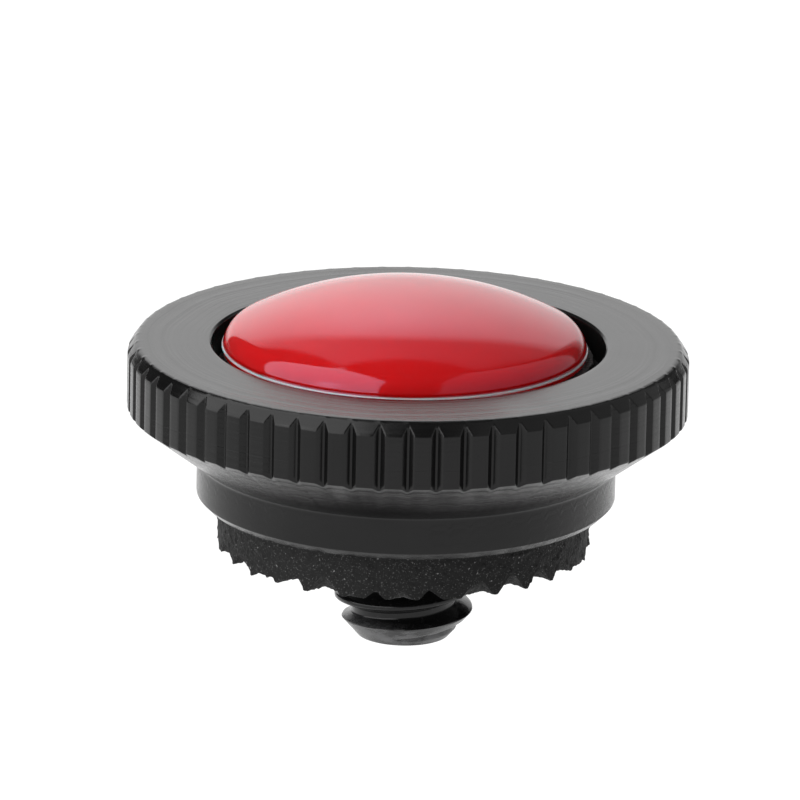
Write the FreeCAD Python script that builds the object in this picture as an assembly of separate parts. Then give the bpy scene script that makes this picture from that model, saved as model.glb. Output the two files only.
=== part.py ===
"""Round quick-release button plate with a quarter-inch camera stud.

All sizes are in millimetres, +Z up. The origin is on the stud's axis, in the
plane where the rubber pad meets the camera. The domed cap is on the +Z side
and the free end of the stud is on the -Z side.
"""
import FreeCAD, Part
import math
import os

# ---------------------------------------------------------------- thread
stud_crest_r = 3.175
stud_root_r = 2.396
thread_pitch = 1.27
thread_crest_flat = 0.22
thread_root_flat = 0.32
stud_end_z = -4.19
stud_end_r = 2.13
stud_end_bevel = 1.20
thread_top_z = 3.78
thread_start_deg = 132.0
head_across_flats = 11.11
head_thickness = 2.40
head_chamfer_deg = 30.0

# ---------------------------------------------------------------- grip pad
pad_r = 8.52
pad_thickness = 2.11
pad_hole_r = 3.45
pad_offset_x = -0.08
waffle_pitch = 1.69
waffle_ridge = 0.20
waffle_floor = 0.30
waffle_depth = 0.80
waffle_turn_deg = -1.6
waffle_start_x = 1.38
waffle_start_y = 0.51

# ---------------------------------------------------------------- bond film
film_r = 8.40
film_thickness = 0.12

# ---------------------------------------------------------------- body
collar_r = 9.58
collar_chamfer = 0.35
collar_corner_z = 4.22
collar_fillet_r = 0.28
cone_foot_r = 12.76
cone_foot_z = 6.60
rim_r = 12.80
rim_bottom_z = 6.66
rim_top_z = 9.10
top_edge_r = 12.40
top_z = 9.68
top_edge_break = 0.05
well_r = 8.99
well_floor_z = 8.18
well_edge_break = 0.10
bore_r = 3.30
pocket_play = 0.10
pocket_floor_z = 5.68

# ---------------------------------------------------------------- knurl
knurl_count = 62
knurl_depth = 0.26
knurl_mouth = 0.56
knurl_floor = 0.10
knurl_phase_deg = -89.7

# ---------------------------------------------------------------- foam and cap
foam_r = 8.45
foam_top_z = 9.13
cap_r = 8.31
cap_offset_x = -0.17
cap_crown_r = 17.0
cap_shoulder_r = 1.20
cap_top_z = 12.26
cap_edge_round = 0.15

up = FreeCAD.Vector(0, 0, 1)
origin = FreeCAD.Vector(0, 0, 0)
film_bottom_z = pad_thickness
collar_base_z = pad_thickness + film_thickness


def vec(x, y, z):
    return FreeCAD.Vector(x, y, z)


def line(a, b):
    return Part.LineSegment(vec(a[0], 0, a[1]), vec(b[0], 0, b[1])).toShape()


def arc(a, m, b):
    return Part.Arc(vec(a[0], 0, a[1]), vec(m[0], 0, m[1]), vec(b[0], 0, b[1])).toShape()


def turn(edges):
    """Spin a closed profile of (radius, height) edges round the Z axis."""
    face = Part.Face(Part.Wire(edges))
    return face.revolve(origin, up, 360)


def loop(points):
    """Closed chain of straight edges through (radius, height) points."""
    ring = list(points) + [points[0]]
    return [line(a, b) for a, b in zip(ring, ring[1:])]


def hexagon(across_flats, z0, z1):
    """Upright hexagonal prism with two flats square to Y."""
    corner_r = across_flats / math.sqrt(3.0)
    corners = []
    for k in range(7):
        a = math.radians(60.0 * k)
        corners.append(vec(corner_r * math.cos(a), corner_r * math.sin(a), z0))
    face = Part.Face(Part.makePolygon(corners))
    return face.extrude(vec(0, 0, z1 - z0))


def one_solid(shape):
    """The single clean solid inside a boolean result."""
    if len(shape.Solids) != 1:
        raise RuntimeError("expected one solid, found %d" % len(shape.Solids))
    return shape.Solids[0]


# ---------------------------------------------------------------- knurled body
def cone_fillet():
    """Tangent points and mid point of the fillet between cone and collar."""
    slope = math.atan2(cone_foot_z - collar_corner_z, cone_foot_r - collar_r)
    turn_angle = math.pi / 2 - slope
    reach = collar_fillet_r * math.tan(turn_angle / 2)
    on_cone = (collar_r + reach * math.cos(slope), collar_corner_z + reach * math.sin(slope))
    on_wall = (collar_r, collar_corner_z - reach)
    centre = (collar_r + collar_fillet_r, collar_corner_z - reach)
    mid_angle = math.pi - turn_angle / 2
    mid = (centre[0] + collar_fillet_r * math.cos(mid_angle),
           centre[1] + collar_fillet_r * math.sin(mid_angle))
    return on_cone, mid, on_wall


def body_blank():
    """Turned blank: collar, conical underside, rim, bevelled edge and well."""
    on_cone, mid, on_wall = cone_fillet()
    foot_in = (collar_r - collar_chamfer, collar_base_z)
    foot_out = (collar_r, collar_base_z + collar_chamfer)
    edge_low = (top_edge_r + top_edge_break, top_z - top_edge_break)
    lip_out = (well_r + well_edge_break, top_z)
    lip_in = (well_r, top_z - well_edge_break)
    edges = [
        line((0, collar_base_z), foot_in),
        line(foot_in, foot_out),
        line(foot_out, on_wall),
        arc(on_wall, mid, on_cone),
        line(on_cone, (cone_foot_r, cone_foot_z)),
        line((cone_foot_r, cone_foot_z), (rim_r, rim_bottom_z)),
        line((rim_r, rim_bottom_z), (rim_r, rim_top_z)),
        line((rim_r, rim_top_z), edge_low),
        line(edge_low, (top_edge_r, top_z)),
        line((top_edge_r, top_z), lip_out),
        line(lip_out, lip_in),
        line(lip_in, (well_r, well_floor_z)),
        line((well_r, well_floor_z), (0, well_floor_z)),
        line((0, well_floor_z), (0, collar_base_z)),
    ]
    return turn(edges)


def knurl_cutter():
    """One upright groove cutter with sloping sides and a flat floor."""
    deep = rim_r - knurl_depth
    side = (knurl_mouth - knurl_floor) / 2 / knurl_depth
    far = rim_r + 0.6
    half_far = knurl_floor / 2 + side * (far - deep)
    z0 = cone_foot_z - 1.0
    points = [
        vec(deep, -knurl_floor / 2, z0),
        vec(far, -half_far, z0),
        vec(far, half_far, z0),
        vec(deep, knurl_floor / 2, z0),
        vec(deep, -knurl_floor / 2, z0),
    ]
    prism = Part.Face(Part.makePolygon(points)).extrude(vec(0, 0, top_z + 1.0 - z0))
    prism.rotate(origin, up, knurl_phase_deg)
    return prism


def knurled_body():
    """Turned and knurled disc with the screw pocket and bore."""
    blank = body_blank()
    bore = Part.makeCylinder(bore_r, top_z, vec(0, 0, 0))
    pocket = hexagon(head_across_flats + 2 * pocket_play, pocket_floor_z, well_floor_z + 0.5)
    blank = blank.cut(bore.fuse(pocket))
    grooves = []
    for k in range(knurl_count):
        g = knurl_cutter()
        g.rotate(origin, up, 360.0 * k / knurl_count)
        grooves.append(g)
    return one_solid(blank.cut(grooves))


# ---------------------------------------------------------------- camera stud
def thread_cutter():
    """Helical sweep of the gap between two neighbouring crests."""
    z0 = stud_end_z - 1.2 * thread_pitch
    height = thread_top_z - z0
    reach = 0.30
    slope = (thread_pitch - thread_crest_flat - thread_root_flat) / 2 / (stud_crest_r - stud_root_r)
    half_root = thread_root_flat / 2
    half_far = half_root + slope * (stud_crest_r + reach - stud_root_r)
    corners = [
        vec(stud_root_r, 0, -half_root),
        vec(stud_crest_r + reach, 0, -half_far),
        vec(stud_crest_r + reach, 0, half_far),
        vec(stud_root_r, 0, half_root),
        vec(stud_root_r, 0, -half_root),
    ]
    helix = Part.makeLongHelix(thread_pitch, height, stud_root_r)
    tool = Part.Wire(helix.Edges).makePipeShell([Part.makePolygon(corners)], True, True)
    tool.rotate(origin, up, thread_start_deg)
    tool.translate(vec(0, 0, z0))
    return tool


def stud_blank():
    """Shank with a bevelled free end."""
    points = [
        (0, stud_end_z),
        (stud_end_r, stud_end_z),
        (stud_crest_r, stud_end_z + stud_end_bevel),
        (stud_crest_r, pocket_floor_z + 0.2),
        (0, pocket_floor_z + 0.2),
    ]
    return turn(loop(points))


def stud_head():
    """Low hexagonal head with the usual bevelled top corners."""
    z1 = pocket_floor_z + head_thickness
    head = hexagon(head_across_flats, pocket_floor_z, z1)
    flat_r = head_across_flats / 2 - 0.1
    far_r = head_across_flats
    drop = (far_r - flat_r) * math.tan(math.radians(head_chamfer_deg))
    keep = [(0, pocket_floor_z - drop), (far_r, pocket_floor_z - drop), (far_r, z1 - drop),
            (flat_r, z1), (0, z1)]
    return head.common(turn(loop(keep)))


def camera_stud():
    """Quarter-inch, 20 per inch, right-hand screw."""
    threaded = stud_blank().cut(thread_cutter())
    return one_solid(threaded.fuse(stud_head()))


# ---------------------------------------------------------------- grip pad
def pocket_cutter(x, y):
    """Square hopper-shaped pocket, its corners on the X and Y directions."""
    mouth = (waffle_pitch - waffle_ridge) / math.sqrt(2.0)
    floor = waffle_floor / math.sqrt(2.0)
    below = 0.2
    spread = (mouth - floor) * below / waffle_depth
    rings = []
    for half, z in ((mouth + spread, -below), (floor, waffle_depth)):
        ring = [vec(half, 0, z), vec(0, half, z), vec(-half, 0, z), vec(0, -half, z), vec(half, 0, z)]
        rings.append(Part.makePolygon(ring))
    tool = Part.makeLoft(rings, True, True)
    tool.translate(vec(x, y, 0))
    tool.rotate(origin, up, waffle_turn_deg)
    return tool


def pocket_places():
    """Centres of the pockets, before the lattice is turned: every other point
    of a square grid, the points between being the crossings of the ridges."""
    step = waffle_pitch / math.sqrt(2.0)
    places = []
    for a in range(-10, 10):
        for b in range(-9, 9):
            x = waffle_start_x + a * step
            y = waffle_start_y + b * step
            if (a + b) % 2 and pad_hole_r - 1.2 < math.hypot(x, y) < pad_r + 1.3:
                places.append((x, y))
    return places


def grip_pad():
    """Rubber ring with a raised lattice of ridges on the face that meets the camera."""
    points = [
        (pad_hole_r, 0),
        (pad_r, 0),
        (pad_r, pad_thickness),
        (pad_hole_r, pad_thickness),
    ]
    ring = turn(loop(points))
    ring.translate(vec(pad_offset_x, 0, 0))
    return one_solid(ring.cut([pocket_cutter(x, y) for x, y in pocket_places()]))


def pad_adhesive():
    """Double-sided bonding film between pad and body."""
    disc = Part.makeCylinder(film_r, film_thickness, vec(pad_offset_x, 0, film_bottom_z))
    hole = Part.makeCylinder(pad_hole_r, 1.0, vec(pad_offset_x, 0, film_bottom_z - 0.4))
    return one_solid(disc.cut(hole))


# ---------------------------------------------------------------- foam and cap
def cap_foam():
    """Soft disc bonded to the floor of the well."""
    return Part.makeCylinder(foam_r, foam_top_z - well_floor_z, vec(0, 0, well_floor_z))


def dome_cap():
    """Solid moulded cap: shallow crown, rounded shoulder, short upright side."""
    crown_z = cap_top_z - cap_crown_r
    lean = cap_crown_r - cap_shoulder_r
    inset = cap_r - cap_shoulder_r
    shoulder_z = crown_z + math.sqrt(lean * lean - inset * inset)
    join_angle = math.atan2(shoulder_z - crown_z, inset)
    join = (cap_crown_r * math.cos(join_angle), crown_z + cap_crown_r * math.sin(join_angle))
    mid_crown_angle = (join_angle + math.pi / 2) / 2
    mid_crown = (cap_crown_r * math.cos(mid_crown_angle),
                 crown_z + cap_crown_r * math.sin(mid_crown_angle))
    mid_shoulder = (inset + cap_shoulder_r * math.cos(join_angle / 2),
                    shoulder_z + cap_shoulder_r * math.sin(join_angle / 2))
    e = cap_edge_round
    low = (cap_r, foam_top_z + e)
    mid_low = (cap_r - e * (1 - math.cos(math.pi / 4)), foam_top_z + e * (1 - math.sin(math.pi / 4)))
    foot = (cap_r - e, foam_top_z)
    edges = [
        line((0, foam_top_z), foot),
        arc(foot, mid_low, low),
        line(low, (cap_r, shoulder_z)),
        arc((cap_r, shoulder_z), mid_shoulder, join),
        arc(join, mid_crown, (0, cap_top_z)),
        line((0, cap_top_z), (0, foam_top_z)),
    ]
    cap = turn(edges)
    cap.translate(vec(cap_offset_x, 0, 0))
    return one_solid(cap)


def main():
    os.makedirs("parts", exist_ok=True)
    parts = {
        "knurled_body": knurled_body(),
        "camera_stud": camera_stud(),
        "grip_pad": grip_pad(),
        "pad_adhesive": pad_adhesive(),
        "cap_foam": cap_foam(),
        "dome_cap": dome_cap(),
    }
    for name, shape in parts.items():
        print(name, "valid", shape.isValid(), "volume", round(shape.Volume, 3))
        shape.exportStep("parts/" + name + ".step")


main()
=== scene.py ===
"""Looks, studio and camera for a round quick-release button plate.

Sizes are written in millimetres and become metres when a mesh is made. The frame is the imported
part's own: +Z along the stud towards the domed cap, with the origin where the grip ring meets a camera.
"""
import logging
import math
from dataclasses import dataclass
from enum import Enum

import bmesh
import bpy
import numpy as np
from mathutils import Matrix, Vector


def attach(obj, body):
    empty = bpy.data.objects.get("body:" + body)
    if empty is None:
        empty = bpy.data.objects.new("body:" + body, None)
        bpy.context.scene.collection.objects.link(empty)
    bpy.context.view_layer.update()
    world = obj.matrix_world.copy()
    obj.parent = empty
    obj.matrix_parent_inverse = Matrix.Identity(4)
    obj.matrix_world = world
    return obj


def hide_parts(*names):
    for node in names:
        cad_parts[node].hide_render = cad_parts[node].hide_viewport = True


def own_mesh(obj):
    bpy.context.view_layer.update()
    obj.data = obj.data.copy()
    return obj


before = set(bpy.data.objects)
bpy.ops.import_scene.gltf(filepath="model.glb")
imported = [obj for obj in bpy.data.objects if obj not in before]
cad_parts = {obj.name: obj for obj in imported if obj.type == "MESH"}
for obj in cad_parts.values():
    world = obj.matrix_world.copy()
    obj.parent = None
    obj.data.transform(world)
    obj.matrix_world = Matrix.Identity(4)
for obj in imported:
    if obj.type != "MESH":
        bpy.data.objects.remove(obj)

MM = 0.001
TAU = 2.0 * math.pi
LONGEST_REACH = 0.45  # share of a side that a corner's arc may use
LEAST_TANGENT = 1e-6
SAME_PLACE_M = 1e-8
LOG = logging.getLogger("button_plate")
Socket = bpy.types.NodeSocket


class Body(Enum):
    """The two rigid bodies that pieces ride on."""

    PLATE = "plate"
    CAP = "cap"


class Slot(Enum):
    """The record's material slots."""

    BODY = "anodised_aluminium"
    STUD = "blackened_steel"
    PAD = "grip_rubber"
    FILM = "bond_film"
    FOAM = "soft_foam"
    CAP = "red_plastic"


# ---- shapes as arrays
@dataclass(frozen=True)
class Turn:
    """An eased corner of an outline, with the spans of the straight run that leads to it."""

    place: tuple | np.ndarray
    ease: float
    steps: int
    spans: int


def corner_path(first: tuple, turns: list, last: tuple, last_spans: int) -> np.ndarray:
    """Open path from first to last, each corner between them eased by a short quadratic arc.

    An arc starts and ends one tangent length from its corner, ease / tan(half the inside angle),
    and at most LONGEST_REACH of the shorter side. Straight runs are cut into equal spans.

    Args:
        first: starting point, (2,) or (columns, 2), as radius and height.
        turns: the corners in order.
        last: end point.
        last_spans: number of spans on the run to the end point.

    Returns:
        Array (rows, columns, 2).
    """
    corners = [first, *(turn.place for turn in turns), last]
    shape = np.broadcast_shapes(*[np.shape(np.atleast_2d(c)) for c in corners])
    pts = [np.broadcast_to(np.atleast_2d(np.asarray(c, float)), shape) for c in corners]
    rows = []
    here = pts[0]
    for turn, before, corner, after in zip(turns, pts, pts[1:], pts[2:]):
        back, ahead = before - corner, after - corner
        back_len = np.linalg.norm(back, axis=-1, keepdims=True)
        ahead_len = np.linalg.norm(ahead, axis=-1, keepdims=True)
        back, ahead = back / back_len, ahead / ahead_len
        cosine = np.clip((back * ahead).sum(-1, keepdims=True), -1.0, 1.0)
        reach = turn.ease / np.maximum(np.tan(np.arccos(cosine) / 2.0), LEAST_TANGENT)
        reach = np.minimum(reach, LONGEST_REACH * np.minimum(back_len, ahead_len))
        start, end = corner + back * reach, corner + ahead * reach
        run = np.linspace(0.0, 1.0, turn.spans + 1)[:-1, None, None]
        rows.append(here + (start - here) * run)
        s = np.linspace(0.0, 1.0, turn.steps + 1)[:-1, None, None]
        rows.append((1 - s) ** 2 * start + 2 * s * (1 - s) * corner + s**2 * end)
        here = end
    run = np.linspace(0.0, 1.0, last_spans + 1)[:, None, None]
    rows.append(here + (pts[-1] - here) * run)
    return np.concatenate(rows)


def spin(path: np.ndarray, angles: np.ndarray) -> np.ndarray:
    """Carry (radius, height) rows round Z: x = r cos a, y = r sin a, z = height.

    Args:
        path: array (rows, 1 or columns, 2).
        angles: angle of each column, in radians.

    Returns:
        Array (rows, columns, 3).
    """
    radius = np.broadcast_to(path[..., 0], (path.shape[0], angles.size))
    height = np.broadcast_to(path[..., 1], radius.shape)
    return np.stack([radius * np.cos(angles), radius * np.sin(angles), height], axis=-1)


def hexagon(angles: np.ndarray, flats: float) -> np.ndarray:
    """Radius of a hexagon with corners on X: half the flats over cos of the angle from a flat."""
    return flats / 2 / np.cos((angles % (TAU / 6)) - TAU / 12)


def run_length(path: np.ndarray) -> np.ndarray:
    """Distance travelled along the rows of a path, summed row by row.

    Args:
        path: array (rows, columns, 2).

    Returns:
        Array (rows, columns), starting at 0.
    """
    step = np.linalg.norm(np.diff(path, axis=0), axis=-1)
    return np.concatenate([np.zeros((1, path.shape[1])), np.cumsum(step, axis=0)])


class GrainField:
    """Seeded smooth noise: random values on a cubic lattice, blended with the ease 3t^2 - 2t^3."""

    def __init__(self, seed: int, size: int = 40) -> None:
        """Draw the lattice once, so that every run gives the same grain."""
        self.size = size
        self.values = np.random.default_rng(seed).uniform(-1.0, 1.0, (size, size, size))

    def at(self, points: np.ndarray, spacing: float) -> np.ndarray:
        """Noise from -1 to 1 at points.

        Args:
            points: array (..., 3) in millimetres.
            spacing: lattice spacing in millimetres.

        Returns:
            Array (...).
        """
        scaled = points / spacing
        base = np.floor(scaled).astype(int)
        ease = (scaled - base) ** 2 * (3.0 - 2.0 * (scaled - base))
        total = np.zeros(points.shape[:-1])
        for corner in np.ndindex(2, 2, 2):
            index = (base + np.array(corner)) % self.size
            weight = np.prod(np.where(corner, ease, 1.0 - ease), axis=-1)
            total += weight * self.values[index[..., 0], index[..., 1], index[..., 2]]
        return total


class Ends(Enum):
    """How the first and last rows of a skin are closed."""

    LOOP = "the last row joins the first"
    POLES = "each end row closes on a point at its middle"


@dataclass
class Skin:
    """A closed surface on a grid of points whose columns close round the axis.

    Rows run so that an outer wall goes downwards, which makes every face point outwards.
    """

    name: str
    points: np.ndarray
    ends: Ends
    sharp_deg: float = 40.0
    seam: np.ndarray | None = None  # row that each row meets across the seam, if not itself

    def faces(self) -> np.ndarray:
        """Quads between neighbouring rows and columns.

        Returns:
            Array (quads, 4) of grid point numbers.
        """
        rows, cols = self.points.shape[:2]
        row = np.arange(rows if self.ends is Ends.LOOP else rows - 1)[:, None]
        below = (row + 1) % rows
        meets = np.arange(rows) if self.seam is None else self.seam
        col = np.arange(cols)[None, :]
        right = (col + 1) % cols
        at_seam = col == cols - 1
        near = np.where(at_seam, meets[row], row)
        far = np.where(at_seam, meets[below], below)
        quads = [row * cols + col, below * cols + col, far * cols + right, near * cols + right]
        return np.stack(np.broadcast_arrays(*quads), axis=-1).reshape(-1, 4)

    def weld(self, mesh: bpy.types.Mesh) -> None:
        """Merge points that share a place and drop the faces that have lost their area.

        Args:
            mesh: the mesh to clean.
        """
        work = bmesh.new()
        work.from_mesh(mesh)
        bmesh.ops.remove_doubles(work, verts=work.verts, dist=SAME_PLACE_M)
        bmesh.ops.dissolve_degenerate(work, edges=work.edges, dist=SAME_PLACE_M / 10.0)
        work.to_mesh(mesh)
        work.free()

    def build(self, marks: dict | None = None) -> bpy.types.Object:
        """Make the mesh object, in metres, at the origin.

        Args:
            marks: point attributes by name, each an array (rows, columns).

        Returns:
            The new object.
        """
        rows, cols = self.points.shape[:2]
        points = self.points.reshape(-1, 3)
        faces = self.faces().tolist()
        if self.ends is Ends.POLES:
            poles = np.stack([self.points[0].mean(0), self.points[-1].mean(0)])
            top, bottom = len(points), len(points) + 1
            points = np.concatenate([points, poles])
            ring = np.arange(cols)
            after = np.roll(ring, -1)
            low = (rows - 1) * cols
            faces += np.stack([np.full(cols, top), ring, after], -1).tolist()
            faces += np.stack([np.full(cols, bottom), low + after, low + ring], -1).tolist()
        mesh = bpy.data.meshes.new(self.name)
        mesh.from_pydata((points * MM).tolist(), [], faces)
        for label, values in (marks or {}).items():
            flat = np.zeros(len(points), np.float32)
            flat[: rows * cols] = values.reshape(-1)
            mesh.attributes.new(label, "FLOAT", "POINT").data.foreach_set("value", flat)
        mesh.validate()
        if self.seam is not None:
            self.weld(mesh)
        mesh.polygons.foreach_set("use_smooth", np.ones(len(mesh.polygons), bool))
        mesh.set_sharp_from_angle(angle=math.radians(self.sharp_deg))
        piece = bpy.data.objects.new(self.name, mesh)
        bpy.context.scene.collection.objects.link(piece)
        return piece


def settle(piece: bpy.types.Object, body: Body, finish: bpy.types.Material, node: str) -> None:
    """Dress a new piece, let it ride on its body and stand for its CAD node.

    Args:
        piece: the new object.
        body: the body it moves with.
        finish: its material.
        node: the CAD node that it stands for.
    """
    piece.data.materials.append(finish)
    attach(piece, body.value)
    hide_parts(node)
    LOG.info("%s: %d faces, stands for %s on %s", piece.name, len(piece.data.polygons), node, body.value)


# ---- finishes
class Bench:
    """A node tree with short calls for the nodes that finishes and surroundings share."""

    def __init__(self, tree: bpy.types.NodeTree) -> None:
        """Work on the given tree."""
        self.tree = tree

    def put(self, socket: Socket, value: object) -> None:
        """Link a socket to another's output, or set its own value.

        Args:
            socket: the input.
            value: an output, or a number, vector or colour.
        """
        if isinstance(value, Socket):
            self.tree.links.new(value, socket)
        else:
            socket.default_value = value

    def node(self, kind: str, inputs: dict, **settings: object) -> bpy.types.Node:
        """Add a node.

        Args:
            kind: its type, without ShaderNode in front.
            inputs: what goes into its sockets, by name or number.
            settings: its own properties.

        Returns:
            The node.
        """
        node = self.tree.nodes.new("ShaderNode" + kind)
        for name, value in settings.items():
            setattr(node, name, value)
        for key, value in inputs.items():
            self.put(node.inputs[key], value)
        return node

    def math(self, kind: str, a: object, b: object = 0.0, clamp: bool = False) -> Socket:
        """One step of arithmetic."""
        return self.node("Math", {0: a, 1: b}, operation=kind, use_clamp=clamp).outputs[0]

    def times(self, a: object, b: object) -> Socket:
        """Product of two numbers."""
        return self.math("MULTIPLY", a, b)

    def ramp(self, value: Socket, stops: tuple) -> Socket:
        """Colour ramp.

        Args:
            value: where to read it.
            stops: pairs of a position and a grey or a colour.

        Returns:
            The colour's socket.
        """
        node = self.node("ValToRGB", {0: value})
        elements = node.color_ramp.elements
        while len(elements) < len(stops):
            elements.new(0.5)
        for element, (position, tone) in zip(elements, stops):
            element.position = position
            element.color = (*tone, 1.0) if isinstance(tone, tuple) else (tone, tone, tone, 1.0)
        return node.outputs[0]

    def dot(self, vector: Socket, other: Vector) -> Socket:
        """Dot product with a fixed vector."""
        return self.node("VectorMath", {0: vector, 1: other}, operation="DOT_PRODUCT").outputs["Value"]


class ShaderBench(Bench):
    """A material's node tree, with calls for what finishes are made of."""

    def __init__(self, name: str) -> None:
        """Start a material with a Principled shader on its output.

        Args:
            name: the material's name.
        """
        self.material = bpy.data.materials.new(name)
        self.material.use_nodes = True
        super().__init__(self.material.node_tree)
        self.tree.nodes.clear()
        self.shader = self.node("BsdfPrincipled", {})
        self.node("OutputMaterial", {"Surface": self.shader.outputs["BSDF"]})
        self.place = self.node("TexCoord", {}).outputs["Object"]

    def fix(self, **values: object) -> None:
        """Set the shader's own sockets; an underscore in a name stands for a space."""
        for name, value in values.items():
            self.put(self.shader.inputs[name.replace("_", " ")], value)

    def attribute(self, name: str) -> Socket:
        """A point attribute's value."""
        return self.node("Attribute", {}, attribute_name=name).outputs["Fac"]

    def stretch(self, scale: tuple) -> Socket:
        """Object coordinates scaled by axis."""
        return self.node("Mapping", {"Vector": self.place, "Scale": scale}).outputs["Vector"]

    def axis(self, which: str) -> Socket:
        """One object coordinate, in metres."""
        return self.node("SeparateXYZ", {0: self.place}).outputs[which]

    def noise(self, per_metre: float, detail: float = 2.0, rough: float = 0.5,
              vector: Socket | None = None) -> Socket:
        """Noise from 0 to 1 in object space, or along a given vector."""
        inputs = {"Vector": vector or self.place, "Scale": per_metre, "Detail": detail, "Roughness": rough}
        return self.node("TexNoise", inputs).outputs["Fac"]

    def line_noise(self, along: Socket, per_unit: float) -> Socket:
        """Rough noise along one number, for marks that repeat round an axis."""
        inputs = {"W": along, "Scale": per_unit, "Detail": 6.0, "Roughness": 0.68}
        return self.node("TexNoise", inputs, noise_dimensions="1D").outputs["Fac"]

    def cells(self, per_metre: float) -> Socket:
        """Distance to the nearest of scattered points, in cells."""
        return self.node("TexVoronoi", {"Vector": self.place, "Scale": per_metre}).outputs["Distance"]

    def blend(self, share: object, low: object, high: object) -> Socket:
        """Mix of two colours by share."""
        return self.node("Mix", {"Factor": share, 6: low, 7: high}, data_type="RGBA").outputs[2]

    def bump(self, height: Socket, depth_mm: float, strength: float,
             under: Socket | None = None) -> Socket:
        """Bump.

        Args:
            height: the relief, from 0 to 1.
            depth_mm: what 1 stands for.
            strength: how much of it shows.
            under: a bump that it lies on.

        Returns:
            The normal's socket.
        """
        inputs = {"Strength": strength, "Distance": depth_mm * MM, "Height": height}
        if under is not None:
            inputs["Normal"] = under
        return self.node("Bump", inputs).outputs["Normal"]


def grey(tone: float, blue: float = 1.0) -> tuple:
    """A grey as a colour with alpha, its blue scaled."""
    return (tone, tone, tone * blue, 1.0)


@dataclass(frozen=True)
class TurnedAnodise:
    """Black anodised aluminium with fine lathe marks that follow the turned outline."""

    dark: float = 0.0028
    light: float = 0.0052
    smooth: float = 0.12
    rough: float = 0.24
    cloud_per_m: float = 260.0
    patch_per_m: float = 150.0
    wander_per_m: float = 220.0
    wander: float = 0.5
    marks_per_mm: float = 2.6
    mark_depth_mm: float = 0.045
    grain_per_m: float = 9000.0
    grain_depth_mm: float = 0.004
    ior: float = 1.34

    def material(self) -> bpy.types.Material:
        """Cloudy black; lathe marks are noise along the outline's run length, stronger in patches.

        Returns:
            The material.
        """
        bench = ShaderBench("turned_anodise")
        cloud = bench.noise(self.cloud_per_m, 4.0, 0.55)
        patches = bench.ramp(bench.noise(self.patch_per_m), ((0.35, 0.25), (0.65, 1.0)))
        bench.fix(Base_Color=bench.ramp(cloud, ((0.3, self.dark), (0.7, self.light))))
        wander = bench.times(bench.noise(self.wander_per_m), self.wander)
        run = bench.math("ADD", bench.attribute("outline_run"), wander)
        rings = bench.line_noise(run, self.marks_per_mm)
        fine = bench.noise(self.grain_per_m, 3.0, 0.6)
        tone = bench.math("ADD", bench.times(rings, 0.6), bench.times(cloud, 0.4))
        bench.fix(Roughness=bench.ramp(tone, ((0.3, self.smooth), (0.7, self.rough))))
        grain = bench.bump(fine, self.grain_depth_mm, 0.35)
        marks = bench.bump(bench.times(rings, patches), self.mark_depth_mm, 0.55, grain)
        bench.fix(Normal=marks, IOR=self.ior)
        return bench.material


@dataclass(frozen=True)
class GlossRed:
    """Deep red moulded plastic with a faint orange-peel surface and a few dust motes."""

    deep: tuple = (0.50, 0.0060, 0.0070)
    bright: tuple = (0.54, 0.0080, 0.0090)
    # pale pink painted highlight on the bead round the cap's foot
    foot: tuple = (1.0, 0.62, 0.66, 1.0)
    # dark red painted shade in the notch above the bead
    notch_painted_shade: tuple = (0.34, 0.004, 0.004, 1.0)
    cloud_per_m: float = 180.0
    peel_per_m: float = 700.0
    peel_depth_mm: float = 0.006
    motes_per_m: float = 2600.0
    mote_rough: float = 0.35
    haze_per_m: float = 900.0
    tint: tuple = (0.8, 0.66, 1.0, 1.0)
    ior: float = 1.5
    glow_share: float = 0.8
    glow_reach_mm: float = 10.0
    glow_colours: tuple = (1.0, 0.08, 0.08)

    def material(self) -> bpy.types.Material:
        """Two close reds over a slow cloud, a pale pink painted highlight on the bead and a dark painted
        shade in the notch above it, glossy with a long ripple.

        Returns:
            The material.
        """
        bench = ShaderBench("gloss_red")
        red = bench.ramp(bench.noise(self.cloud_per_m, 3.0), ((0.35, self.deep), (0.65, self.bright)))
        # the notch mark paints darker red there as shade in the crease
        red = bench.blend(bench.attribute("notch"), red, self.notch_painted_shade)
        # the bead mark paints a pale pink highlight into the base colour
        bench.fix(Base_Color=bench.blend(bench.attribute("bead"), red, self.foot))
        peel = bench.noise(self.peel_per_m, 1.0)
        motes = bench.ramp(bench.cells(self.motes_per_m), ((0.0, 1.0), (0.06, 0.0)))
        rough = bench.ramp(bench.noise(self.haze_per_m, 4.0), ((0.3, 0.045), (0.75, 0.075)))
        bench.fix(Roughness=bench.blend(motes, rough, grey(self.mote_rough)))
        bench.fix(Normal=bench.bump(peel, self.peel_depth_mm, 0.25), IOR=self.ior, Specular_Tint=self.tint)
        bench.fix(Subsurface_Weight=self.glow_share, Subsurface_Radius=self.glow_colours,
                  Subsurface_Scale=self.glow_reach_mm * MM)
        return bench.material


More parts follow.
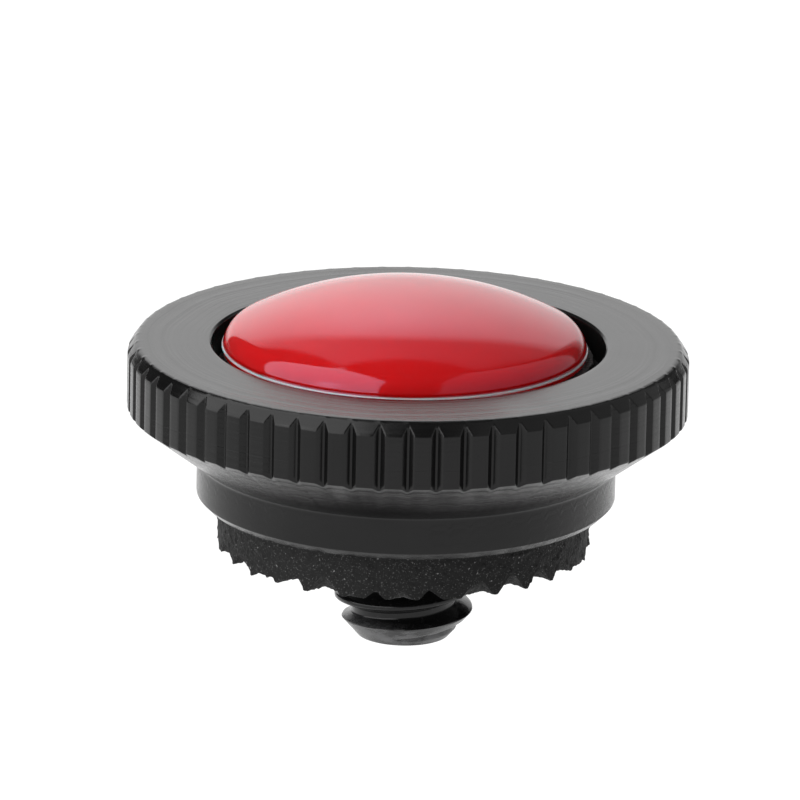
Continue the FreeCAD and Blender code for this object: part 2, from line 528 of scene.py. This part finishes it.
@dataclass(frozen=True)
class SpeckledRubber:
    """Black pebbled rubber with small pale flecks of two sizes."""

    black: float = 0.003
    pale: float = 0.009
    small_fleck: float = 0.055
    large_fleck: float = 0.17
    mottle_per_m: float = 2500.0
    small_per_m: float = 13500.0
    large_per_m: float = 7400.0
    pebbles_per_m: float = 6500.0
    pebble_depth_mm: float = 0.05
    fleck_depth_mm: float = 0.03
    ior: float = 1.3

    def material(self) -> bpy.types.Material:
        """Dark mottling and pebbles, with many faint small flecks and a few brighter large ones.

        Returns:
            The material.
        """
        bench = ShaderBench("speckled_rubber")
        mottle = bench.noise(self.mottle_per_m, 4.0, 0.6)
        base = bench.ramp(mottle, ((0.35, self.black), (0.7, self.pale)))
        small = bench.ramp(bench.noise(self.small_per_m, 1.0, 0.4), ((0.61, 0.0), (0.74, 1.0)))
        large = bench.ramp(bench.noise(self.large_per_m), ((0.685, 0.0), (0.75, 1.0)))
        base = bench.blend(small, base, grey(self.small_fleck))
        bench.fix(Base_Color=bench.blend(large, base, grey(self.large_fleck)))
        bench.fix(Roughness=bench.ramp(mottle, ((0.3, 0.55), (0.7, 0.85))))
        pebbles = bench.bump(bench.noise(self.pebbles_per_m), self.pebble_depth_mm, 0.9)
        bench.fix(Normal=bench.bump(large, self.fleck_depth_mm, 0.5, pebbles), IOR=self.ior)
        return bench.material


@dataclass(frozen=True)
class BlackedSteel:
    """Glossy black steel, its free end rubbed grey where it is screwed in and out."""

    black: float = 0.004
    rubbed: float = 0.085
    worn_from_mm: float = -2.95
    worn_to_mm: float = -3.30
    scuffs_per_m: float = 900.0
    nicks_per_m: float = 3800.0
    nick_share: float = 0.35
    shine_per_m: float = 3500.0
    dents_per_m: float = 4200.0
    dent_depth_mm: float = 0.014
    worn_rough: float = 0.45
    ior: float = 1.36

    def material(self) -> bpy.types.Material:
        """Wear rises below a height and is broken up by two sizes of scratch noise.

        Returns:
            The material.
        """
        bench = ShaderBench("blacked_steel")
        span = (self.worn_to_mm - self.worn_from_mm) * MM
        below = bench.math("SUBTRACT", bench.axis("Z"), self.worn_from_mm * MM)
        low = bench.math("DIVIDE", below, span, clamp=True)
        scratches = bench.noise(self.scuffs_per_m, 8.0, 0.75, bench.stretch((1.0, 1.0, 2.5)))
        scuff = bench.ramp(scratches, ((0.42, 0.05), (0.6, 1.0)))
        nicks = bench.ramp(bench.noise(self.nicks_per_m, 5.0, 0.7), ((0.58, 0.0), (0.70, 0.7)))
        worn = bench.math("MULTIPLY", low, scuff, clamp=True)
        marks = bench.math("MAXIMUM", worn, bench.times(nicks, self.nick_share))
        bench.fix(Base_Color=bench.blend(marks, grey(self.black, 1.05), grey(self.rubbed, 1.02)))
        shine = bench.ramp(bench.noise(self.shine_per_m, 3.0), ((0.3, 0.10), (0.7, 0.22)))
        bench.fix(Roughness=bench.blend(worn, shine, grey(self.worn_rough)))
        dents = bench.noise(self.dents_per_m, 5.0, 0.65)
        bench.fix(Normal=bench.bump(dents, self.dent_depth_mm, 0.45), IOR=self.ior)
        return bench.material


@dataclass(frozen=True)
class OpenFoam:
    """Matt black foam with open cells whose walls catch some light."""

    black: float = 0.004
    pale: float = 0.03
    cells_per_m: float = 5200.0
    cell_depth_mm: float = 0.1
    rough: float = 0.92
    ior: float = 1.4

    def material(self) -> bpy.types.Material:
        """Cells about 0.2 mm across, with painted shade inside them and painted light on their walls.

        Returns:
            The material.
        """
        bench = ShaderBench("open_foam")
        cells = bench.cells(self.cells_per_m)
        # painted shade in the cell middles, painted light on the cell walls
        bench.fix(Base_Color=bench.ramp(cells, ((0.25, self.black), (0.75, self.pale))))
        bench.fix(Roughness=self.rough, IOR=self.ior, Normal=bench.bump(cells, self.cell_depth_mm, 0.9))
        return bench.material


@dataclass(frozen=True)
class BondFilm:
    """Thin dark bonding film with a dull, slightly rippled edge."""

    tone: float = 0.01
    ripple_per_m: float = 4000.0
    ripple_depth_mm: float = 0.01

    def material(self) -> bpy.types.Material:
        """Nearly even dark tone with a fine ripple.

        Returns:
            The material.
        """
        bench = ShaderBench("bond_film")
        ripple = bench.noise(self.ripple_per_m, 3.0)
        bench.fix(Base_Color=bench.ramp(ripple, ((0.3, self.tone * 0.7), (0.7, self.tone * 1.4))))
        bench.fix(Roughness=bench.ramp(ripple, ((0.3, 0.45), (0.7, 0.6))))
        bench.fix(Normal=bench.bump(ripple, self.ripple_depth_mm, 0.4))
        return bench.material


# ---- the pieces
@dataclass
class KnurledBody:
    """Turned disc: well, top face, bevel, knurled rim, conical underside, collar and screw pocket."""

    grooves: int = 62
    groove_depth: float = 0.26
    groove_mouth: float = 0.56
    groove_floor: float = 0.10
    first_groove_deg: float = -89.7
    land_round: float = 0.035
    floor_round: float = 0.06
    rim_r: float = 12.80
    rim_top_z: float = 9.10
    top_edge_r: float = 12.40
    top_z: float = 9.68
    top_edge_round: float = 0.34
    bevel_round: float = 0.30
    well_r: float = 8.99
    well_floor_z: float = 8.18
    lip: float = 0.10
    cone_foot_r: float = 12.76
    cone_foot_z: float = 6.60
    collar_r: float = 9.58
    collar_corner_z: float = 4.22
    collar_fillet: float = 0.28
    collar_base_z: float = 2.23
    collar_bevel: float = 0.35
    bore_r: float = 3.30
    pocket_flats: float = 11.31
    pocket_floor_z: float = 5.68
    floor_seam_r: float = 7.6
    well_round: float = 0.10
    scallop_round: float = 0.08
    bevel_edge_round: float = 0.06
    fine_round: float = 0.05
    bore_round: float = 0.02

    def columns(self) -> tuple:
        """Angle and groove depth of every column: flat land, eased corner, sloping side, narrow floor.

        Returns:
            Two arrays, the angles in radians and the depths in millimetres.
        """
        half_pitch = math.pi * self.rim_r / self.grooves
        mouth, floor, deep = self.groove_mouth / 2, self.groove_floor / 2, self.groove_depth
        turns = [
            Turn((-mouth, 0.0), self.land_round, 2, 2),
            Turn((-floor, deep), self.floor_round, 2, 1),
            Turn((floor, deep), self.floor_round, 2, 1),
            Turn((mouth, 0.0), self.land_round, 2, 1),
        ]
        one = corner_path((-half_pitch, 0.0), turns, (half_pitch, 0.0), 2)[:-1, 0]
        starts = math.radians(self.first_groove_deg) + TAU * np.arange(self.grooves) / self.grooves
        angles = (starts[:, None] + one[None, :, 0] / self.rim_r).reshape(-1)
        return angles, np.tile(one[:, 1], self.grooves)

    def build(self) -> bpy.types.Object:
        """Spin the outline; in a groove the rim is cut back, so bevel and cone run on to meet its floor.

        Returns:
            The new object.
        """
        angles, depth = self.columns()
        wall_r = self.rim_r - depth
        bevel_slope = (self.top_z - self.rim_top_z) / (self.rim_r - self.top_edge_r)
        cone_slope = (self.cone_foot_z - self.collar_corner_z) / (self.cone_foot_r - self.collar_r)
        arch = np.stack([wall_r, self.rim_top_z + depth * bevel_slope], -1)
        scallop = np.stack([wall_r, self.cone_foot_z + (wall_r - self.cone_foot_r) * cone_slope], -1)
        pocket_r = hexagon(angles, self.pocket_flats)
        pocket_top = np.stack([pocket_r, np.full_like(pocket_r, self.well_floor_z)], -1)
        pocket_low = np.stack([pocket_r, np.full_like(pocket_r, self.pocket_floor_z)], -1)
        start = (self.floor_seam_r, self.well_floor_z)
        bevel_foot = self.collar_base_z + self.collar_bevel
        turns = [
            Turn((self.well_r, self.well_floor_z), self.well_round, 2, 2),
            Turn((self.well_r, self.top_z - self.lip), self.fine_round, 3, 5),
            Turn((self.well_r + self.lip, self.top_z), self.fine_round, 3, 1),
            Turn((self.top_edge_r, self.top_z), self.top_edge_round, 6, 12),
            Turn(arch, self.bevel_round, 4, 5),
            Turn(scallop, self.scallop_round, 4, 8),
            Turn((self.collar_r, self.collar_corner_z), self.collar_fillet, 6, 14),
            Turn((self.collar_r, bevel_foot), self.bevel_edge_round, 3, 6),
            Turn((self.collar_r - self.collar_bevel, self.collar_base_z), self.bevel_edge_round, 3, 2),
            Turn((self.bore_r, self.collar_base_z), self.fine_round, 1, 4),
            Turn((self.bore_r, self.pocket_floor_z), self.bore_round, 1, 2),
            Turn(pocket_low, self.fine_round, 1, 1),
            Turn(pocket_top, self.fine_round, 1, 1),
        ]
        path = corner_path(start, turns, start, 1)
        skin = Skin("plate_body", spin(path, angles)[:-1], Ends.LOOP)
        return skin.build({"outline_run": run_length(path)[:-1]})


@dataclass
class DomeCap:
    """Solid moulded cap: shallow crown, rounded shoulder, short upright side and eased lower edge."""

    radius: float = 8.31
    offset_x: float = -0.17
    crown_r: float = 17.0
    shoulder_r: float = 1.20
    top_z: float = 12.26
    base_z: float = 9.13
    edge_round: float = 0.15
    bead_z: float = 9.455
    bead_r: float = 0.062
    bead_stand: float = 0.8
    bead_band: float = 0.12
    notch_depth: float = 0.025
    columns: int = 288
    crown_rows: int = 44
    pole_share: float = 0.002
    shoulder_rows: int = 24
    bead_rows: int = 44
    bead_turn: float = 0.30
    edge_rows: int = 6
    base_rows: int = 7
    base_inner_r: float = 0.4

    def outline(self) -> np.ndarray:
        """Crown arc, then the shoulder arc that touches it inside, then side, edge and flat base.

        Returns:
            Array (rows, 1, 2) from near the top of the crown to near the middle of the base.
        """
        crown_z = self.top_z - self.crown_r
        lean = self.crown_r - self.shoulder_r
        inset = self.radius - self.shoulder_r
        shoulder_z = crown_z + math.sqrt(lean**2 - inset**2)
        join = math.atan2(shoulder_z - crown_z, inset)
        a = math.pi / 2 + (join - math.pi / 2) * np.linspace(self.pole_share, 1.0, self.crown_rows)
        b = np.concatenate([np.linspace(join, self.bead_turn, self.shoulder_rows)[1:],
                            np.linspace(self.bead_turn, 0.0, self.bead_rows)[1:]])
        e = np.linspace(0.0, -math.pi / 2, self.edge_rows)
        low = self.radius - self.edge_round
        flat_r = np.linspace(low, self.base_inner_r, self.base_rows + 1)[1:]
        parts = [
            (self.crown_r * np.cos(a), crown_z + self.crown_r * np.sin(a)),
            (inset + self.shoulder_r * np.cos(b), shoulder_z + self.shoulder_r * np.sin(b)),
            (low + self.edge_round * np.cos(e), self.base_z + self.edge_round * (1 + np.sin(e))),
            (flat_r, np.full_like(flat_r, self.base_z)),
        ]
        return np.concatenate([np.stack(part, -1) for part in parts])[:, None, :]

    def bead(self, path: np.ndarray) -> tuple:
        """A bead round the foot with a notch above it, each a bell curve of height.

        The bead stands out by bead_stand radii times exp(-(distance / radius) ** 4), and the notch,
        whose middle is two radii higher, goes in by its depth times exp(-(distance / radius) ** 2).

        Args:
            path: the cap's outline, array (rows, 1, 2).

        Returns:
            The outline with bead and notch, and two arrays (rows, 1) that mark them from 0 to 1.
        """
        outer = path[..., 0] > self.radius - self.bead_band
        height = path[..., 1]
        bead = outer * np.exp(-(((height - self.bead_z) / self.bead_r) ** 4))
        notch = outer * np.exp(-(((height - self.bead_z - 2.0 * self.bead_r) / self.bead_r) ** 2))
        shaped = path.copy()
        shaped[..., 0] += self.bead_stand * self.bead_r * bead - self.notch_depth * notch
        return shaped, bead, notch

    def build(self) -> bpy.types.Object:
        """Spin the outline and set it a little to one side of the well's middle.

        Returns:
            The new object.
        """
        angles = TAU * np.arange(self.columns) / self.columns
        path, bead, notch = self.bead(self.outline())
        points = spin(path, angles)
        points[..., 0] += self.offset_x
        grid = points.shape[:2]
        # the bead mark carries a painted highlight and the notch mark a painted shade in the cap's finish
        marks = {"bead": np.broadcast_to(bead, grid), "notch": np.broadcast_to(notch, grid)}
        return Skin("dome_cap_shell", points, Ends.POLES).build(marks)


@dataclass
class CapFoam:
    """Soft disc under the cap; the real one is squeezed when the cap is pressed, this one keeps its shape.
    """

    radius: float = 8.45
    base_z: float = 8.18
    top_z: float = 9.13
    press: float = 0.5
    middle_r: float = 0.5
    edge_round: float = 0.06
    coarse_pit: float = 0.05
    coarse_mm: float = 0.22
    fine_pit: float = 0.03
    fine_mm: float = 0.10
    fine_shift: float = 31.0
    side_band: float = 0.2
    grain_seed: int = 11
    columns: int = 360

    def build(self) -> bpy.types.Object:
        """Disc with an eased edge and a side pitted by two sizes of grain.

        Returns:
            The new object.
        """
        turns = [
            Turn((self.radius, self.top_z), self.edge_round, 3, 6),
            Turn((self.radius, self.base_z), self.edge_round, 3, 12),
        ]
        path = corner_path((self.middle_r, self.top_z), turns, (self.middle_r, self.base_z), 6)
        points = spin(path, TAU * np.arange(self.columns) / self.columns)
        field = GrainField(self.grain_seed)
        pits = self.coarse_pit * field.at(points, self.coarse_mm)
        pits += self.fine_pit * field.at(points + self.fine_shift, self.fine_mm)
        inward = np.hypot(points[..., 0], points[..., 1]) - self.radius + self.side_band
        side = np.clip(inward / self.side_band, 0.0, 1.0)
        points[..., :2] *= (1.0 + (pits - self.coarse_pit) * side / self.radius)[..., None]
        return Skin("cap_foam_disc", points, Ends.POLES).build()

    def dress(self) -> None:
        piece = self.build()
        settle(piece, Body.PLATE, OpenFoam().material(), "cap_foam")
        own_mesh(piece)


@dataclass
class GripPad:
    """Rubber ring with a lattice of ridges on its lower face and a pebbled side."""

    radius: float = 8.52
    hole_r: float = 3.45
    thickness: float = 2.11
    offset_x: float = -0.08
    pitch: float = 1.69
    ridge: float = 0.20
    floor: float = 0.30
    depth: float = 0.80
    turn_deg: float = -1.6
    start: tuple = (1.38, 0.51)
    coarse_grain: tuple = (0.020, 0.34)  # height and spacing
    fine_grain: tuple = (0.012, 0.17)
    lump_grain: tuple = (0.13, 0.24)
    fine_shift: float = 17.0
    lump_shift: float = 53.0
    lump_from: float = 0.40
    sink: float = 0.03
    edge_band: float = 0.12
    hole_band: float = 0.1
    lower_from_z: float = 1.0
    lower_band: float = 0.4
    grain_seed: int = 5
    columns: int = 720
    top_rows: int = 3
    side_rows: int = 41
    bottom_rows: int = 58
    hole_rows: int = 3

    def pocket_depth(self, x: np.ndarray, y: np.ndarray) -> np.ndarray:
        """Depth of the lattice's pockets: it rises evenly from each ridge's side to a flat floor.

        A point's place is turned back by the lattice's small turn, then read on axes at 45 degrees
        from a crossing of two ridges. The distance to the nearer ridge line sets the depth.

        Args:
            x: places along X in millimetres.
            y: places along Y in millimetres.

        Returns:
            Depths in millimetres.
        """
        turn = math.radians(self.turn_deg)
        along = math.cos(turn) * x + math.sin(turn) * y - self.start[0]
        across = math.cos(turn) * y - math.sin(turn) * x - self.start[1]
        ways = np.stack([along + across, along - across]) / math.sqrt(2.0)
        to_ridge = np.abs((ways + self.pitch / 2) % self.pitch - self.pitch / 2).min(0)
        slope = self.depth / ((self.pitch - self.ridge - self.floor) / 2)
        return np.clip((to_ridge - self.ridge / 2) * slope, 0.0, self.depth)

    def build(self) -> bpy.types.Object:
        """Ring section carried round: top outwards, side down to the lattice, bottom inwards, hole up.

        Returns:
            The new object.
        """
        angles = TAU * np.arange(self.columns) / self.columns
        top_r = np.linspace(self.hole_r, self.radius, self.top_rows + 1)[:-1]
        side_t = np.linspace(0.0, 1.0, self.side_rows + 1)[:-1]
        bottom_r = np.linspace(self.radius, self.hole_r, self.bottom_rows)
        hole_t = np.linspace(0.0, 1.0, self.hole_rows + 2)[1:-1]
        side_r, hole_r = np.full(side_t.size, self.radius), np.full(hole_t.size, self.hole_r)
        radii = np.concatenate([top_r, side_r, bottom_r, hole_r])
        points = spin(np.stack([radii, np.zeros_like(radii)], -1)[:, None, :], angles)
        points[..., 0] += self.offset_x
        low = self.pocket_depth(points[..., 0], points[..., 1])
        share = np.concatenate([np.zeros(top_r.size), side_t, np.ones(bottom_r.size), 1.0 - hole_t])
        points[..., 2] = self.thickness + (low - self.thickness) * share[:, None]
        return Skin("grip_ring", self.pebble(points), Ends.LOOP, sharp_deg=60.0).build()

    def pebble(self, points: np.ndarray) -> np.ndarray:
        """Rough the side and the lower face: coarse and fine grain, with rare taller lumps.

        Args:
            points: array (rows, columns, 3) of the smooth ring, in millimetres.

        Returns:
            Array of the same shape.
        """
        field = GrainField(self.grain_seed)
        coarse = field.at(points, self.coarse_grain[1])
        fine = field.at(points + self.fine_shift, self.fine_grain[1])
        lumps = np.maximum(field.at(points + self.lump_shift, self.lump_grain[1]) - self.lump_from, 0.0)
        grain = self.coarse_grain[0] * coarse + self.fine_grain[0] * fine
        grain += self.lump_grain[0] * lumps - self.sink
        r = np.hypot(points[..., 0] - self.offset_x, points[..., 1])
        side = np.clip((r - self.radius + self.edge_band) / self.edge_band, 0.0, 1.0)
        off_top = np.clip((self.thickness - points[..., 2]) / self.edge_band, 0.0, 1.0)
        grown = 1.0 + grain * side * off_top / np.maximum(r, 1.0)
        under = np.clip((self.lower_from_z - points[..., 2]) / self.lower_band, 0.0, 1.0)
        outside_hole = np.clip((r - self.hole_r) / self.hole_band, 0.0, 1.0)
        lift = (self.sink - grain) * under * outside_hole
        moved = points.copy()
        moved[..., 0] = self.offset_x + (points[..., 0] - self.offset_x) * grown
        moved[..., 1] *= grown
        moved[..., 2] += np.maximum(lift, -points[..., 2])
        return moved


@dataclass
class CameraStud:
    """Quarter-inch screw, 20 threads per inch, right-hand, with a low hexagonal head."""

    crest_r: float = 3.175
    root_r: float = 2.396
    pitch: float = 1.27
    crest_flat: float = 0.22
    root_flat: float = 0.32
    end_z: float = -4.19
    end_r: float = 2.13
    end_bevel: float = 1.20
    thread_top_z: float = 3.78
    first_root_deg: float = 132.0
    first_root_turns: float = 1.2
    crest_ease: float = 0.04
    run_out: float = 0.4
    head_flats: float = 11.11
    head_low_z: float = 5.68
    head_top_z: float = 8.08
    head_inset: float = 0.1
    head_chamfer_deg: float = 30.0
    columns: int = 144
    per_turn: int = 24

    def thread_radius(self, phase: np.ndarray) -> np.ndarray:
        """Radius against distance from the middle of a root.

        The flank is a straight line that stops at the root. It meets the crest through the ease
        crest - s * log(1 + exp((crest - line) / s)), with s = crest_ease, which rounds its corners.

        Args:
            phase: distance along the axis from the nearest root, in millimetres.

        Returns:
            Radii in millimetres.
        """
        slope = (self.crest_r - self.root_r) / ((self.pitch - self.crest_flat - self.root_flat) / 2)
        line = self.root_r + (np.abs(phase) - self.root_flat / 2) * slope
        below = self.crest_ease * np.logaddexp(0.0, (self.crest_r - line) / self.crest_ease)
        return np.maximum(self.root_r, self.crest_r - below)

    def build(self) -> bpy.types.Object:
        """Rows follow the helix, so crests and roots lie along the grid, and end rows are held level.

        Rows count downwards, so across the seam a thread row meets the one a turn up.

        Returns:
            The new object.
        """
        angles = TAU * np.arange(self.columns) / self.columns
        step = self.pitch / self.per_turn
        low = self.end_z - self.pitch - step
        count = int(math.ceil((self.head_low_z - low) / step)) + 1
        climb = self.pitch * angles / TAU
        z = low + step * np.arange(count)[::-1, None] + climb[None, :]
        root_z = self.end_z - self.pitch * (self.first_root_turns + self.first_root_deg / 360.0)
        phase = (z - climb - root_z + self.pitch / 2) % self.pitch - self.pitch / 2
        r = self.thread_radius(phase)
        r += (self.crest_r - r) * np.clip((z - self.thread_top_z) / self.run_out, 0.0, 1.0)
        z = np.clip(z, self.end_z, self.head_low_z)
        r = np.minimum(r, self.end_r + (z - self.end_z) * (self.crest_r - self.end_r) / self.end_bevel)
        head = hexagon(angles, self.head_flats)
        flat_r = self.head_flats / 2 - self.head_inset
        drop = (head - flat_r) * math.tan(math.radians(self.head_chamfer_deg))
        level = np.ones_like(angles)
        head_r = [0.5 * flat_r * level, flat_r * level, head, head]
        head_z = [self.head_top_z * level] * 2 + [self.head_top_z - drop, self.head_low_z * level]
        r = np.concatenate([head_r, r, [0.5 * self.end_r * level]])
        z = np.concatenate([head_z, z, [self.end_z * level]])
        seam = np.arange(len(r))
        first, last = len(head_r), len(head_r) + count - 1
        seam[first:last + 1] = np.clip(seam[first:last + 1] - self.per_turn, first, last)
        return Skin("stud_screw", spin(np.stack([r, z], -1), angles), Ends.POLES, seam=seam).build()


@dataclass
class FilmRing:
    """The bonding film keeps its CAD mesh and gets a finish."""

    node: str = "pad_adhesive"

    def dress(self) -> None:
        """Give the CAD node its film material."""
        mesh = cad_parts[self.node].data
        mesh.materials.clear()
        mesh.materials.append(BondFilm().material())
        LOG.info("%s: CAD mesh kept, film finish", self.node)


# ---- studio
def toward(turn_deg: float, rise_deg: float) -> Vector:
    """Direction at an angle round Z from +X and an angle above the horizon."""
    turn, rise = math.radians(turn_deg), math.radians(rise_deg)
    return Vector((math.cos(rise) * math.cos(turn), math.cos(rise) * math.sin(turn), math.sin(rise)))


@dataclass(frozen=True)
class Window:
    """A soft box seen from the part as a four-cornered window of even light.

    A direction is inside where it lies on the inner side of all four planes that pass through the
    part and two neighbouring corners. Corners are (angle round Z, angle above the horizon) and go
    round clockwise as seen from the part.
    """

    name: str
    corners: tuple
    radiance: float
    softness: float = 0.03

    def glow(self, bench: Bench, look: Socket) -> Socket:
        """The window's radiance in the direction looked in.

        Args:
            bench: the world's node bench.
            look: the direction's socket.

        Returns:
            The radiance's socket.
        """
        spots = [toward(*corner) for corner in self.corners]
        inside = self.radiance
        for here, ahead in zip(spots, spots[1:] + spots[:1]):
            side = bench.dot(look, ahead.cross(here).normalized())
            edge = bench.math("ADD", bench.math("DIVIDE", side, self.softness), 0.5, clamp=True)
            inside = bench.times(edge, inside)
        return inside


@dataclass
class BackLight:
    """A lit wall behind the part with a rounded brighter patch on it.

    Places on the wall are u, sideways, and w, upwards, both divided by the distance to the wall.
    Pairs are where a soft edge starts and ends, and profiles are (place, level) stops.
    """

    name: str = "back_wall"
    wall_left: tuple = (-0.54, -0.50)
    wall_right: tuple = (0.68, 0.56)
    wall_top: tuple = (2.10, 1.90)
    wall_level: float = 0.48
    wall_fall: float = -0.40
    horizon: tuple = (0.05, 0.10)
    patch_half: float = 0.47
    patch_from: float = 0.50
    patch_rise: float = 0.82
    patch_edge: tuple = (1.22, 0.80)
    patch_level: float = 0.60
    foot_top: tuple = (0.56, 0.44)
    foot_right: tuple = (0.55, 0.35)
    core_level: float = 1.15
    core_height: float = 2.0
    core_left: float = 0.5
    core_tall: tuple = ((0.05, 0.0), (0.20, 0.45), (0.39, 0.97), (0.465, 1.0), (0.54, 0.85), (0.66, 0.35))
    core_wide: tuple = ((0.05, 0.0), (0.14, 0.38), (0.31, 0.90), (0.48, 1.0), (0.68, 0.66), (0.86, 0.30))

    def step(self, bench: Bench, value: object, edge: tuple) -> Socket:
        """Straight ramp from 0 at the first value of edge to 1 at the second."""
        return bench.math("DIVIDE", bench.math("SUBTRACT", value, edge[0]), edge[1] - edge[0], clamp=True)

    def glow(self, bench: Bench, look: Socket) -> Socket:
        """Radiance: wall, plus patch inside an ellipse, plus a core that is brightest halfway up.

        Args:
            bench: the world's node bench.
            look: the direction's socket.

        Returns:
            The radiance's socket.
        """
        parts = bench.node("SeparateXYZ", {0: look}).outputs
        ahead = bench.math("MAXIMUM", parts["Y"], self.horizon[0])
        u = bench.math("DIVIDE", parts["X"], ahead)
        w = bench.math("DIVIDE", parts["Z"], ahead)
        front = self.step(bench, parts["Y"], self.horizon)
        sides = bench.times(self.step(bench, u, self.wall_left), self.step(bench, u, self.wall_right))
        sides = bench.times(sides, self.step(bench, w, self.wall_top))
        wall = bench.math("ADD", bench.times(u, self.wall_fall), self.wall_level)
        across = bench.math("POWER", bench.math("DIVIDE", bench.math("ABSOLUTE", u), self.patch_half), 2.0)
        above = bench.math("MAXIMUM", bench.math("SUBTRACT", w, self.patch_from), 0.0)
        rise = bench.math("POWER", bench.math("DIVIDE", above, self.patch_rise), 2.0)
        patch = self.step(bench, bench.math("ADD", across, rise), self.patch_edge)
        foot = bench.times(self.step(bench, w, self.foot_top), self.step(bench, u, self.foot_right))
        patch = bench.math("MAXIMUM", patch, foot)
        tall = bench.ramp(bench.math("DIVIDE", w, self.core_height, clamp=True), self.core_tall)
        wide = bench.ramp(bench.math("ADD", u, self.core_left, clamp=True), self.core_wide)
        core = bench.times(bench.times(tall, wide), self.core_level)
        bright = bench.times(patch, bench.math("ADD", core, self.patch_level))
        return bench.times(bench.times(bench.math("ADD", wall, bright), sides), front)


@dataclass
class Studio:
    """White floor well below the part, a lit wall behind, soft boxes left and, weaker, right."""

    floor_z: float = -0.16
    floor_half: float = 6.0
    floor_tone: float = 0.22
    floor_glow: float = 0.82
    ambient: float = 0.06
    tooth_per_m: float = 40.0

    def floor(self) -> None:
        """One large white sheet that glows a little, as a floor lit from all sides does."""
        h, z = self.floor_half, self.floor_z
        mesh = bpy.data.meshes.new("studio_floor")
        mesh.from_pydata([(-h, -h, z), (h, -h, z), (h, h, z), (-h, h, z)], [], [(0, 1, 2, 3)])
        sheet = bpy.data.objects.new("studio_floor", mesh)
        bpy.context.scene.collection.objects.link(sheet)
        bench = ShaderBench("floor_paper")
        tooth = bench.noise(self.tooth_per_m, 3.0)
        bench.fix(Base_Color=bench.ramp(tooth, ((0.3, self.floor_tone), (0.7, self.floor_tone * 1.04))))
        bench.fix(Roughness=0.9, Emission_Color=grey(1.0), Emission_Strength=self.floor_glow)
        mesh.materials.append(bench.material)

    def lights(self) -> list:
        """The lit wall and the soft boxes."""
        return [
            BackLight(),
            Window("left_box", ((118, 62), (-109, 64), (-106, -4), (178, -4)), 2.7),
            Window("left_box_bulb", ((-148, 34), (-134, 34), (-134, 14), (-148, 14)), 1.6, 0.12),
            Window("right_box", ((-53, 60), (52, 66), (44, -2), (-72, -2)), 0.47, 0.04),
            Window("right_card", ((72, 27), (36, 24), (36, -2), (72, -2)), 0.55, 0.06),
        ]

    def air(self) -> None:
        """Add up the lights' radiance by direction and make it the world's background."""
        world = bpy.data.worlds.new("studio_air")
        world.use_nodes = True
        bench = Bench(world.node_tree)
        look = bench.node("TexCoord", {}).outputs["Generated"]
        total = self.ambient
        for light in self.lights():
            total = bench.math("ADD", light.glow(bench, look), total)
            LOG.info("%s lit", light.name)
        back = world.node_tree.nodes["Background"]
        bench.put(back.inputs["Strength"], total)
        back.inputs["Color"].default_value = grey(1.0)
        bpy.context.scene.world = world

    def light(self) -> None:
        """Set up floor and surroundings, and show colours as they are."""
        self.floor()
        self.air()
        view = bpy.context.scene.view_settings
        view.view_transform = "Standard"
        view.look = "None"
        view.exposure = 0.0
        view.gamma = 1.0


@dataclass
class ViewCamera:
    """Long lens, a little above the part, turned very slightly."""

    target_z_mm: float = 9.68
    distance_mm: float = 461.69
    elevation_deg: float = 16.898
    roll_deg: float = 1.168
    lens_mm: float = 456.1
    right_mm: float = 0.3985
    up_mm: float = 2.648
    sensor_mm: float = 36.0
    near_m: float = 0.01
    far_m: float = 50.0

    def place(self) -> None:
        """Stand back along the view line, then slide so that the target sits right and up of centre."""
        elevation, roll = math.radians(self.elevation_deg), math.radians(self.roll_deg)
        ahead = Vector((0.0, math.cos(elevation), -math.sin(elevation)))
        level = Vector((1.0, 0.0, 0.0))
        rise = Vector((0.0, math.sin(elevation), math.cos(elevation)))
        right = math.cos(roll) * level + math.sin(roll) * rise
        up = -math.sin(roll) * level + math.cos(roll) * rise
        spot = Vector((0.0, 0.0, self.target_z_mm)) - self.distance_mm * ahead
        spot -= self.right_mm * right + self.up_mm * up
        lens = bpy.data.cameras.new("view_camera")
        lens.lens = self.lens_mm
        lens.sensor_width = self.sensor_mm
        lens.clip_start = self.near_m
        lens.clip_end = self.far_m
        camera = bpy.data.objects.new("view_camera", lens)
        turn = Matrix((right, up, -ahead)).transposed().to_4x4()
        camera.matrix_world = Matrix.Translation(spot * MM) @ turn
        bpy.context.scene.collection.objects.link(camera)
        bpy.context.scene.camera = camera


def main() -> None:
    """Build every piece in order, light the studio and note the sizes."""
    logging.basicConfig(level=logging.INFO, format="%(name)s %(message)s")
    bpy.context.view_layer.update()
    settle(KnurledBody().build(), Body.PLATE, TurnedAnodise().material(), "knurled_body")
    settle(CameraStud().build(), Body.PLATE, BlackedSteel().material(), "camera_stud")
    FilmRing().dress()
    settle(GripPad().build(), Body.PLATE, SpeckledRubber().material(), "grip_pad")
    CapFoam().dress()
    settle(DomeCap().build(), Body.CAP, GlossRed().material(), "dome_cap")
    Studio().light()
    ViewCamera().place()


if __name__ == "__main__":
    main()
